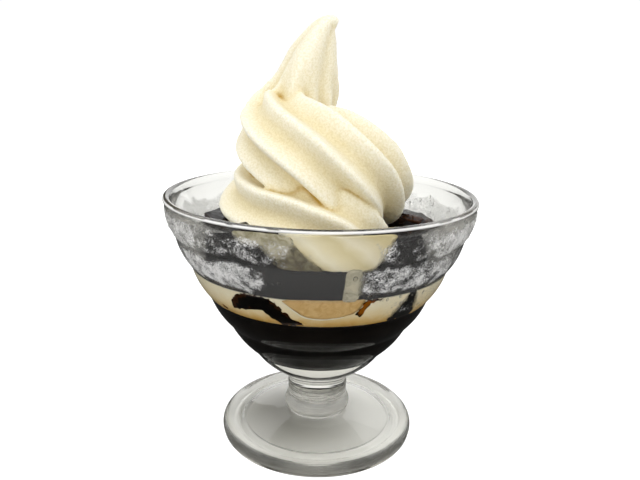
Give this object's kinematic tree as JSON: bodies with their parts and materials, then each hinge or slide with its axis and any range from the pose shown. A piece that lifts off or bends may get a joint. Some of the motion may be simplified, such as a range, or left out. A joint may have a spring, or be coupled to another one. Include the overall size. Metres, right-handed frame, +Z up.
{
  "type": "coffee jelly dessert in a footed glass",
  "caption": "Footed stepped dessert glass filled with dark coffee jelly and a layer of cream, topped with a tall soft-serve swirl.",
  "frame": {"origin": "centre of the glass foot's underside, on the surface it stands on", "axes": "+Z up along the glass's axis, -Y the front, +X to the viewer's right"},
  "size_m": [0.12, 0.12, 0.1663],
  "materials": {
    "glass": "clear pressed glass, polished, with chilled bloom",
    "coffee_jelly": "wet, glossy, near black with brown thin edges",
    "cream": "pourable fresh cream, satin",
    "soft_serve": "soft, matt, fine icy grain"
  },
  "bodies": {
    "root": {"glass": "glass", "jelly_base": "coffee_jelly", "cream_layer": "cream", "jelly_heap": "coffee_jelly", "jelly_cube_left": "coffee_jelly", "jelly_lump_right": "coffee_jelly", "soft_serve": "soft_serve"}
  },
  "joints": []
}
